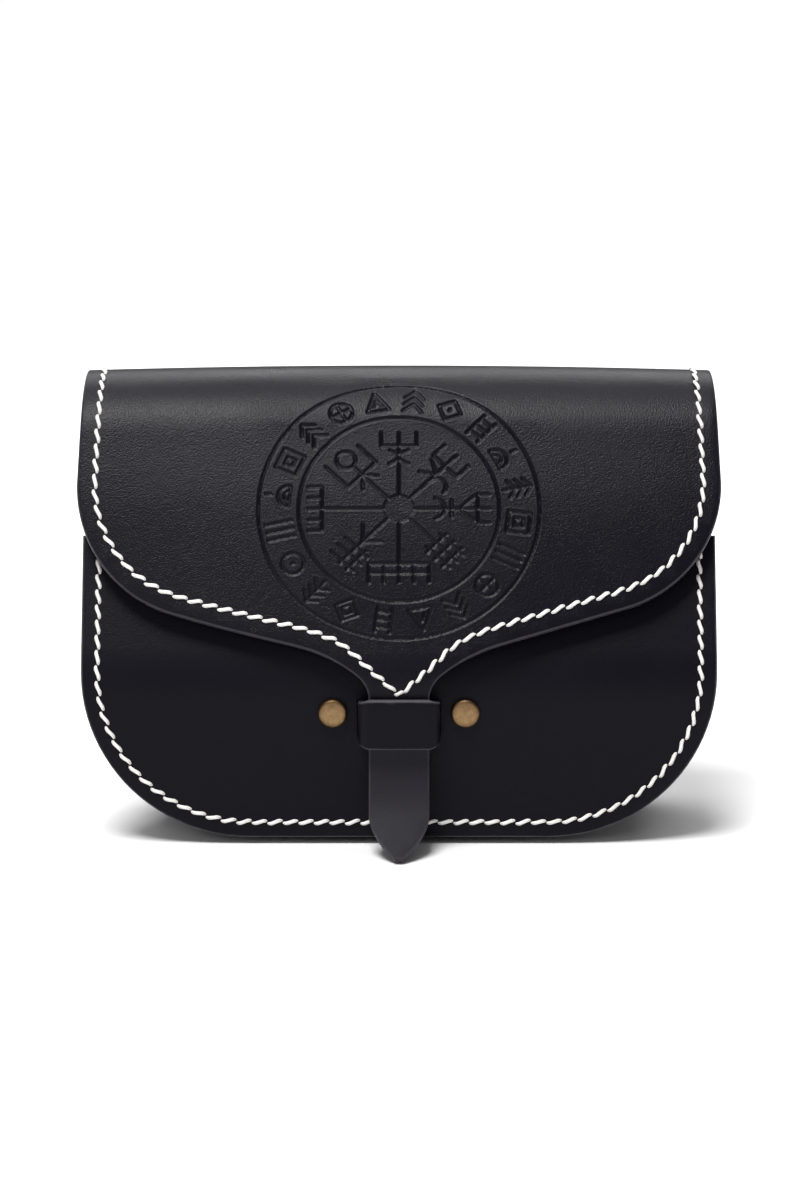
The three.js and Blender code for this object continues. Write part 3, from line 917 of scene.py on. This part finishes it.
def make_back_and_flap():
    piece = cut_pattern("back_and_flap_leather", flap_outline, leather, rim_rounding)
    steps = [stamp_cell * (i - stamp_cells // 2) for i in range(stamp_cells + 1)]
    sides = [sign * x for sign in (-1, 1) for x in (56, 62, 70, 78, 86, 93, 98)]
    score(steps + sides, along_s=False)
    rows = [figure_centre + step for step in steps]
    score(rows + [s for s in flap_line.stations(3, 7) if s < rows[0] - 1 or s > rows[-1] + 1])
    drill(piece, [
        (sign * belt_loop_spacing / 2, height, shank_hole, None)
        for sign in (-1, 1) for height in belt_rivet_heights.values()
    ])
    bpy.ops.object.mode_set(mode="EDIT")
    stamp_reach = figure_radius + 2.2

    def under_the_stamp(middle, normal):
        near_x = max(0, abs(middle.x) - stamp_cell / 2)
        near_s = max(0, abs(middle.y - figure_centre) - stamp_cell / 2) / figure_squash
        return math.hypot(near_x, near_s) < stamp_reach and normal.z > 0.9 and middle.z > -0.01

    pick_faces(under_the_stamp)
    bpy.ops.mesh.subdivide(number_cuts=11)
    split_many_sided()
    leave_edit()
    flat = points_of(piece)
    grain_side = flat[:, 2] > -0.01
    relief, groove = np.zeros(len(flat)), np.zeros(len(flat))
    # Seen on the flap, up is towards the fold, and the pattern's x runs the other way
    x, up = -flat[grain_side, 0], figure_centre - flat[grain_side, 1]
    relief[grain_side], groove[grain_side] = stamp_height(x, up)
    store(piece, "edge", near_rim(flat, flap_outline))
    store(piece, "pressed", groove)
    # The tongue below the keeper is painted lighter for the light it catches, and is duller from handling
    store(piece, "handled_and_painted_light", tongue_handling_and_painted_light * np.clip((flat[:, 1] - neck_length - 4) / 14, 0, 1))
    set_points(piece, fold_flap(flat, flat[:, 2] + relief))
    piece.data.materials.append(waxed_flap_leather)
    finish_piece(piece, ["back_and_flap"])


make_back_and_flap()


# Front panel

def mark_rims(piece, flat, outline):
    store(piece, "edge", near_rim(flat, outline))
    store(piece, "pressed", np.zeros(len(flat)))


def make_front_panel():
    piece = cut_pattern("front_panel_leather", front_outline, leather, rim_rounding)
    at = keeper_centre / math.cos(math.radians(front_lean))
    leg_middle = leg_outside - strap_leather / 2
    slit_width = strap_leather + 2 * gap
    slit_height = keeper_height - 2 * keeper_draw_in + 2 * gap
    holes = [(sign * leg_middle, at, slit_width, slit_height) for sign in (-1, 1)]
    holes += [(sign * rivet_spread / 2, at + rivet_rise, shank_hole, None) for sign in (-1, 1)]
    drill(piece, holes)
    bpy.ops.object.mode_set(mode="EDIT")
    score(front_line.stations(3, 5))
    score(range(-98, 99, 7), along_s=False)
    leave_edit()
    flat = points_of(piece)
    mark_rims(piece, flat, front_outline)
    y, z = front_line.place(flat[:, 1], -flat[:, 2])
    set_points(piece, stand(flat[:, 0], y, z))
    piece.data.materials.append(black_leather)
    finish_piece(piece, ["front_panel"])


make_front_panel()


# Keeper

def strip_outline(half, length, corner=0.6):
    return [
        (half, corner), (half, length - corner), (half - corner, length), (-half + corner, length),
        (-half, length - corner), (-half, corner), (-half + corner, 0), (half - corner, 0),
    ]


def make_keeper():
    half = keeper_height / 2
    length = keeper_line.length
    outline = strip_outline(half, length)
    piece = cut_pattern("keeper_leather", outline, strap_leather, strap_rim_rounding)
    tail_hole = leg_outside + keeper_tail - rivet_spread / 2
    drill(piece, [(rivet_rise, s, shank_hole, None) for s in (tail_hole, length - tail_hole)])
    bpy.ops.object.mode_set(mode="EDIT")
    score(keeper_line.stations(9, 1.6))
    score(range(-6, 7, 2), along_s=False)
    leave_edit()
    flat = points_of(piece)
    mark_rims(piece, flat, outline)
    # The bridge is slightly crowned, and the legs draw in towards the panel
    from_middle = np.abs(flat[:, 1] - length / 2)
    on_bridge = np.clip(1 - from_middle / (leg_outside + 1), 0, 1)
    crown = keeper_crown * np.clip(1 - (flat[:, 0] / half) ** 2, 0, 1) * np.minimum(1, 3 * on_bridge)
    draw_in = keeper_draw_in * np.clip((from_middle - leg_outside + 3.2) / 9, 0, 1)
    narrowed = flat[:, 0] * (1 - draw_in / half)
    across, inwards = keeper_line.place(flat[:, 1], -flat[:, 2] - crown)
    set_points(piece, stand(*on_front(across, inwards, narrowed, keeper_centre)))
    piece.data.materials.append(black_leather)
    turn_faces_out(piece)
    finish_piece(piece, ["keeper_loop"])


make_keeper()


# Gusset

def panel_inside(z):
    s = np.linspace(0, front_line.length, 400)
    y, height = front_line.place(s, leather)
    return np.interp(z, height, y) + np.maximum(0, z - height[-1]) * math.tan(math.radians(rim_lean))


def make_gusset():
    """A sheet laid along the U from rim to rim, given its thickness, then cut on a slant at the mouth"""
    wall_in = flange_width + gusset_leather
    panel_gap = gap / math.cos(math.radians(rim_lean))

    # Across the strip: the front flange and its bend, the wall, and the same again at the back. A flange
    # point is (inwards from the rim, off the panel), and a wall point has its share of the way to the back.
    bend_steps = 6
    front = [(0, 0.0, "front"), (0.35 * flange_width, 0.0, "front")]
    for i in range(bend_steps + 1):
        a = math.pi / 2 * i / bend_steps
        inward = wall_in - gusset_bend * (1 - math.sin(a))
        front.append((inward, gusset_bend * (1 - math.cos(a)), "front"))
    wall = [(None, share, "wall") for share in (0.15, 0.3, 0.4, 0.5, 0.6, 0.7, 0.85)]
    section = front + wall + [(inward, off_panel, "back") for inward, off_panel, _ in reversed(front)]

    # Along the strip: down one side, round the corner, along the foot, and up again
    side_steps, corner_steps, foot_steps = 18, 24, 10
    top = rim_height - mouth_drop + mouth_back_rise + 6
    left = []
    for i in range(side_steps):
        left.append((-body_width / 2, top + (corner_radius - top) * i / side_steps, 1.0, 0.0))
    for i in range(corner_steps + 1):
        a = math.pi / 2 * i / corner_steps
        c, s = math.cos(a), math.sin(a)
        left.append((-body_width / 2 + corner_radius * (1 - c), corner_radius * (1 - s), c, s))
    foot_run = body_width - 2 * corner_radius
    foot = [(foot_run * (i / foot_steps - 0.5), 0.0, 0.0, 1.0) for i in range(1, foot_steps)]
    stations = left + foot + [(-x, z, -c, s) for x, z, c, s in reversed(left)]

    across, along = len(section), len(stations)
    bpy.ops.object.select_all(action="DESELECT")
    bpy.ops.mesh.primitive_grid_add(x_subdivisions=across - 1, y_subdivisions=along - 1, size=2)
    piece = bpy.context.object
    piece.name = "gusset_leather"
    grid = points_of(piece)
    column = np.rint((grid[:, 0] + 1) / 2 * (across - 1)).astype(int)
    row = np.rint((grid[:, 1] + 1) / 2 * (along - 1)).astype(int)
    own = np.zeros_like(grid)
    back = bag_depth - leather - gap
    for k, (i, j) in enumerate(zip(column, row)):
        inward, off_panel, part = section[i]
        x, z, c, s = stations[j]
        if part == "wall":
            start = panel_inside(z + s * wall_in) + panel_gap + gusset_bend
            end = back - gusset_bend
            rise = min(1.0, max(0.0, (z - corner_radius / 2) / (rim_height - corner_radius / 2)))
            share = off_panel
            inward = wall_in + gusset_sink * ease(rise) * math.sin(math.pi * share)
            y = start + (end - start) * share
        elif part == "front":
            y = panel_inside(z + s * inward) + panel_gap + off_panel
        else:
            y = back - off_panel
        own[k] = (x + c * inward, y, z + s * inward)
    set_points(piece, own)

    slant = math.atan2(mouth_back_rise, (bag_depth - leather) - panel_inside(rim_height))
    mouth = (0, float(panel_inside(rim_height)), rim_height - mouth_drop)
    edit_all(piece)
    bpy.ops.mesh.bisect(plane_co=mouth, plane_no=(0, -math.sin(slant), math.cos(slant)), clear_outer=True)
    turn_faces_out(piece)
    # The sheet's normals have to point to the pouch's inside before it gets its thickness
    middle = piece.data.polygons[len(piece.data.polygons) // 2]
    if middle.normal.z < 0:
        edit_all(piece)
        bpy.ops.mesh.flip_normals()
        leave_edit()
    thicken = piece.modifiers.new("leather", "SOLIDIFY")
    thicken.thickness = gusset_leather
    thicken.offset = -1
    thicken.use_even_offset = True
    bpy.ops.object.modifier_apply(modifier=thicken.name)
    rims = piece.modifiers.new("rims", "BEVEL")
    rims.width = 0.45
    rims.segments = 2
    rims.limit_method = "ANGLE"
    rims.angle_limit = math.radians(60)
    bpy.ops.object.modifier_apply(modifier=rims.name)
    own = points_of(piece)
    store(piece, "edge", np.zeros(len(own)))
    store(piece, "pressed", np.zeros(len(own)))
    set_points(piece, stand(own[:, 0], own[:, 1], own[:, 2]))
    piece.data.materials.append(inner_leather)
    finish_piece(piece, ["gusset"])


make_gusset()


# Belt loops

def make_belt_loop(side, x):
    length = belt_line.length
    outline = strip_outline(belt_loop_width / 2, length, corner=3)
    piece = cut_pattern(f"belt_loop_{side}_leather", outline, strap_leather, strap_rim_rounding)
    drill(piece, [(0, s, shank_hole, None) for s in (belt_tab / 2, length - belt_tab / 2)])
    bpy.ops.object.mode_set(mode="EDIT")
    score(belt_line.stations(8, 4))
    score([-9, -4.5, 0, 4.5, 9], along_s=False)
    leave_edit()
    flat = points_of(piece)
    mark_rims(piece, flat, outline)
    y, z = belt_line.place(flat[:, 1], -flat[:, 2])
    set_points(piece, stand(x - flat[:, 0], y, z))
    piece.data.materials.append(black_leather)
    finish_piece(piece, [f"belt_loop_{side}"])


make_belt_loop("left", -belt_loop_spacing / 2)
make_belt_loop("right", belt_loop_spacing / 2)


# Rivets

def make_cap(outwards):
    """A low domed cap on a seat at y = 0, its crown towards -y, or towards +y if outwards is -1"""
    bpy.ops.object.select_all(action="DESELECT")
    turn = (math.pi / 2, 0, 0) if outwards > 0 else (-math.pi / 2, 0, 0)
    bpy.ops.mesh.primitive_cylinder_add(
        vertices=48, radius=rivet_head_radius, depth=rivet_head_height, rotation=turn,
        location=(0, -outwards * (rivet_head_height / 2 + gap), 0),
    )
    cap = bpy.context.object
    bpy.ops.object.transform_apply(location=True, rotation=True, scale=True)
    crown_y = -outwards * (rivet_head_height + gap)
    bpy.ops.object.mode_set(mode="EDIT")
    pick_edges(lambda a, b: abs(a.y - crown_y) < 1e-3 and abs(b.y - crown_y) < 1e-3)
    bpy.ops.mesh.bevel(offset=rivet_cap_rounding, segments=7, affect="EDGES", profile=0.55)
    pick_faces(lambda middle, normal: abs(middle.y - crown_y) < 1e-3)
    for lift in (0.18, 0.12, 0.06):
        bpy.ops.mesh.inset(thickness=0.9)
        bpy.ops.transform.translate(value=(0, -outwards * lift, 0))
    bpy.ops.mesh.poke()
    leave_edit()
    return cap


def make_rivet(name, grip, place, facing, nodes):
    """Two caps on a shank through leather of this thickness, its first cap to the front or to the back"""
    front = make_cap(1)
    back = make_cap(-1)
    back_points = points_of(back)
    back_points[:, 1] += grip
    set_points(back, back_points)
    bpy.ops.object.select_all(action="DESELECT")
    bpy.ops.mesh.primitive_cylinder_add(
        vertices=24, radius=rivet_shank_radius, depth=grip + 2 * gap + 0.4, rotation=(math.pi / 2, 0, 0),
        location=(0, grip / 2, 0),
    )
    shank = bpy.context.object
    bpy.ops.object.transform_apply(location=True, rotation=True, scale=True)
    bpy.ops.object.mode_set(mode="EDIT")
    pick_edges(lambda a, b: abs(a.y - b.y) < 1e-4)
    bpy.ops.mesh.bevel(offset=0.15, segments=2, affect="EDGES")
    only(front)
    back.select_set(True)
    shank.select_set(True)
    bpy.ops.object.join()
    piece = bpy.context.object
    piece.name = name
    x, y, z = points_of(piece).T
    store(piece, "crown", np.clip(1.12 - (np.hypot(x, z) / rivet_head_radius) ** 4, 0, 1))
    set_points(piece, stand(*place(x, y * facing, z)))
    if facing < 0:
        edit_all(piece)
        bpy.ops.mesh.flip_normals()
        leave_edit()
    piece.data.materials.append(brass)
    finish_piece(piece, nodes, 50)


for side, sign in (("left", -1), ("right", 1)):
    def on_keeper_tail(x, y, z, sign=sign):
        return on_front(x + sign * rivet_spread / 2, y, z + rivet_rise, keeper_centre)

    keeper_grip = tail_front + strap_leather
    make_rivet(f"keeper_rivet_{side}_brass", keeper_grip, on_keeper_tail, 1, [f"keeper_rivet_{side}"])
    for level, height in belt_rivet_heights.items():
        def on_belt_tab(x, y, z, sign=sign, height=height):
            return x + sign * belt_loop_spacing / 2, y + bag_depth + gap + strap_leather, z + height

        name = f"belt_rivet_{side}_{level}"
        make_rivet(f"{name}_brass", leather + gap + strap_leather, on_belt_tab, -1, [name])


# Saddle stitches

def inset(edge, distance):
    """Points along an open edge, moved inwards"""
    edge = np.array(edge)
    tangent = np.gradient(edge, axis=0)
    tangent /= np.hypot(tangent[:, 0], tangent[:, 1])[:, None]
    return edge + np.stack([-tangent[:, 1], tangent[:, 0]], -1) * distance


def stitch_places(path, pitch):
    """The middle, direction and length of each stitch along an open path, close to this pitch"""
    path = np.asarray(path)
    step = np.hypot(*(path[1:] - path[:-1]).T)
    walked = np.concatenate([[0], np.cumsum(step)])
    count = max(1, round(walked[-1] / pitch))
    pitch = walked[-1] / count
    found = []
    for i in range(count):
        a, b = i * pitch, (i + 1) * pitch
        start = np.array([np.interp(a, walked, path[:, k]) for k in (0, 1)])
        end = np.array([np.interp(b, walked, path[:, k]) for k in (0, 1)])
        found.append(((start + end) / 2, (end - start) / np.linalg.norm(end - start), pitch))
    return found


def one_stitch(pitch, slant):
    """One stitch lying flat along x: a slanted, slightly S-shaped strand that dives in at both ends.
    Returns its points (along, across, height), its faces and its ply value."""
    rings, sides = 9, 8
    points, ply = [], []
    for i in range(rings):
        t = -1 + 2 * i / (rings - 1)
        along = t * pitch * 0.53
        across = slant * (0.18 * t + 0.34 * math.sin(0.85 * math.pi * t))
        height = 0.30 - 0.62 * abs(t) ** 5
        radius = stitch_radius * (1 - 0.62 * abs(t) ** 2.6)
        for k in range(sides):
            a = 2 * math.pi * k / sides
            points.append((along, across + radius * math.cos(a), height + 0.72 * radius * math.sin(a)))
            ply.append(0.5 + 0.5 * math.cos(2 * (a - 2.2 * t)))
    faces = [tuple(reversed(range(sides)))]
    for i in range(rings - 1):
        for k in range(sides):
            n = (k + 1) % sides
            faces.append((i * sides + k, i * sides + n, (i + 1) * sides + n, (i + 1) * sides + k))
    faces.append(tuple((rings - 1) * sides + k for k in range(sides)))
    return np.array(points), faces, np.clip((np.array(ply) - 0.8) * 5, 0, 1)


def sew(name, stitches, fold):
    """Lay copies of one stitch along a pattern and fold them with the leather"""
    all_points, all_faces, all_ply = [], [], []
    count = 0
    for middle, direction, pitch in stitches:
        points, faces, ply = one_stitch(pitch, random.uniform(0.85, 1.15))
        turn = random.uniform(-0.05, 0.05)
        c, s = math.cos(turn), math.sin(turn)
        along = np.array([direction[0] * c - direction[1] * s, direction[0] * s + direction[1] * c])
        across = np.array([-along[1], along[0]])
        flat = middle + points[:, :1] * along + points[:, 1:2] * across
        all_points.append(np.column_stack([flat, points[:, 2] * random.uniform(0.94, 1.06)]))
        all_faces += [tuple(v + count for v in face) for face in faces]
        all_ply.append(ply)
        count += len(points)
    flat = np.vstack(all_points)
    mesh = bpy.data.meshes.new(name)
    mesh.from_pydata(fold(flat, flat[:, 2]).tolist(), [], all_faces)
    piece = bpy.data.objects.new(name, mesh)
    bpy.context.scene.collection.objects.link(piece)
    store(piece, "ply", np.concatenate(all_ply))
    piece.data.materials.append(linen)
    turn_faces_out(piece)
    bpy.ops.object.shade_smooth()
    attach(piece, "root")


def fold_front(flat, raised):
    y, z = front_line.place(flat[:, 1], -raised)
    return stand(flat[:, 0], y, z)


def right_flap_seam():
    """The flap's stitch line for x > 0, from the foot's middle to the tip of the V over the neck"""
    edge = body_corner(40) + flap_side()
    dense = []
    for (x0, s0), (x1, s1) in zip(edge, edge[1:]):
        n = max(1, int(math.hypot(x1 - x0, s1 - s0) / 1.5))
        dense += [(x0 + (x1 - x0) * i / n, s0 + (s1 - s0) * i / n) for i in range(n)]
    beside = inset([p for p in dense if p[1] < neck_length], stitch_inset)
    above_the_v = [tuple(p) for p in beside if not (p[1] > crown_length and p[0] < 16.5)]
    return [(0.0, stitch_inset)] + above_the_v + [(9.6, 258.6), (5.4, 262.2), (1.2, seam_v_tip - 0.4)]


def right_front_seam():
    corner = [tuple(p) for p in inset(body_corner(40), front_stitch_inset)]
    top = (body_width / 2 - front_stitch_inset, front_line.length - 3)
    return [(0.0, front_stitch_inset)] + corner + [top]


def mirrored(path):
    return [(-x, s) for x, s in reversed(path)]


seam = right_flap_seam()
flap_seam = stitch_places(seam, stitch_pitch) + stitch_places(mirrored(seam), stitch_pitch)
flap_seam += stitch_places([(1.5, seam_v_tip), (-1.5, seam_v_tip)], 3.0)
sew("flap_stitches", flap_seam, fold_flap)

seam = right_front_seam()
sew("front_seam_stitches", stitch_places(mirrored(seam) + seam[1:], stitch_pitch), fold_front)


# Floor, light and camera

def make_floor():
    bpy.ops.object.select_all(action="DESELECT")
    bpy.ops.mesh.primitive_plane_add(size=14, location=(0, 3, 0))
    floor = bpy.context.object
    floor.name = "studio_floor"
    material, _, shader = new_material("pale_floor")
    shader.inputs["Base Color"].default_value = (0.87, 0.87, 0.87, 1)
    shader.inputs["Roughness"].default_value = 0.85
    shader.inputs["Specular IOR Level"].default_value = 0.1
    floor.data.materials.append(material)


def place_and_aim(name, data, location, direction):
    thing = bpy.data.objects.new(name, data)
    thing.location = location
    thing.rotation_euler = Vector(direction).to_track_quat("-Z", "Y").to_euler()
    bpy.context.scene.collection.objects.link(thing)
    return thing


def softbox(name, location, target, width, height, power):
    light = bpy.data.lights.new(name, "AREA")
    light.shape = "RECTANGLE"
    light.size = width
    light.size_y = height
    light.energy = power
    place_and_aim(name, light, location, Vector(target) - Vector(location))


make_floor()
softbox("back_softbox", (-0.10, 0.88, 0.90), (0, 0, 0.10), 1.3, 0.5, 8)
softbox("top_softbox", (0, 0.20, 1.25), (0, 0, 0.10), 1.0, 0.5, 4.5)
softbox("front_softbox", (-0.5, -1.3, 0.66), (0, 0, 0.06), 1.0, 0.4, 2.2)

key_light = bpy.data.lights.new("key", "SUN")
key_light.energy = 3.4
key_light.angle = math.radians(23)
place_and_aim("key", key_light, (0, 0, 0), (0.18, 0.385, -1))

world = bpy.data.worlds.new("studio")
world.use_nodes = True
world.node_tree.nodes["Background"].inputs["Color"].default_value = (1, 1, 1, 1)
world.node_tree.nodes["Background"].inputs["Strength"].default_value = 0.2
bpy.context.scene.world = world
# The usual view transform would turn the white floor and thread grey
bpy.context.scene.view_settings.view_transform = "Standard"

camera_elevation = math.radians(12)
camera_distance = 1.4
look_at = Vector((0.0003, float(stance_back) * MM, 0.0790))
camera_data = bpy.data.cameras.new("camera")
camera_data.sensor_width = 36
camera_data.lens = 134.2
away = Vector((0, -math.cos(camera_elevation), math.sin(camera_elevation)))
bpy.context.scene.camera = place_and_aim("camera", camera_data, look_at + away * camera_distance, -away)

leave_edit()
